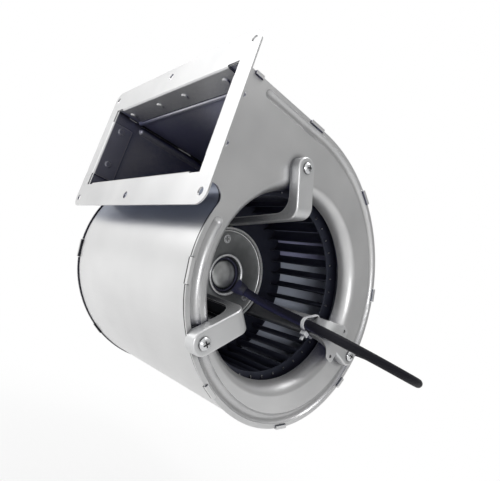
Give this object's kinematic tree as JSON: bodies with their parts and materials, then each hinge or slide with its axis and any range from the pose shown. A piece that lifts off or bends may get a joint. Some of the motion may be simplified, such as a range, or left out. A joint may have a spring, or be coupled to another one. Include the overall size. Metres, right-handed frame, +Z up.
{
  "type": "double inlet centrifugal blower",
  "caption": "Sheet-steel scroll blower with an impeller on an external-rotor motor, three arms in the near inlet, an outlet flange and a tied lead.",
  "frame": {"origin": "middle of the outlet flange's bolt pattern, on the flange's front face", "axes": "+X along the impeller's axis towards the inlet with the motor arms, -Y the way the air leaves, +Z up"},
  "size_m": [0.2504, 0.2619, 0.2371],
  "materials": {
    "galvanised_sheet": "smooth galvanised sheet",
    "pressed_steel": "pressed and zinc plated",
    "zinc_plate": "zinc plated",
    "cast_metal": "fine cast, satin",
    "polished_cap": "polished",
    "black_rubber": "matt",
    "core_steel": "stacked sheet",
    "copper_wire": "lacquered",
    "bearing_steel": "ground",
    "black_paint": "satin",
    "black_sheath": "satin",
    "core_insulation": "satin",
    "white_nylon": "satin"
  },
  "bodies": {
    "housing": {"right_side_plate": "galvanised_sheet", "left_side_plate": "galvanised_sheet", "scroll_wrapper": "galvanised_sheet", "outlet_flange": "galvanised_sheet", "arm_top": "pressed_steel", "arm_lower_left": "pressed_steel", "arm_lower_right": "pressed_steel", "arm_spacers": "zinc_plate", "arm_screws": "zinc_plate", "motor_flange_screws": "zinc_plate", "motor_flange": "cast_metal", "hub_cap": "polished_cap", "cable_gland": "black_rubber", "stator_core": "core_steel", "stator_windings": "copper_wire", "bearing_near": "bearing_steel", "bearing_far": "bearing_steel", "cable": "black_sheath", "cable_cores": "core_insulation", "cable_tie": "white_nylon"},
    "impeller": {"shaft": "bearing_steel", "rotor_bell": "black_paint", "rotor_core": "core_steel", "impeller_disc": "galvanised_sheet", "disc_rivets": "zinc_plate", "blades_near": "galvanised_sheet", "blades_far": "galvanised_sheet", "end_ring_near": "galvanised_sheet", "end_ring_far": "galvanised_sheet"}
  },
  "joints": [
    {"name": "impeller_spin", "type": "hinge", "parent": "housing", "child": "impeller", "pos_m": [0, 0.104, -0.079], "axis": [1, 0, 0], "continuous": true}
  ]
}
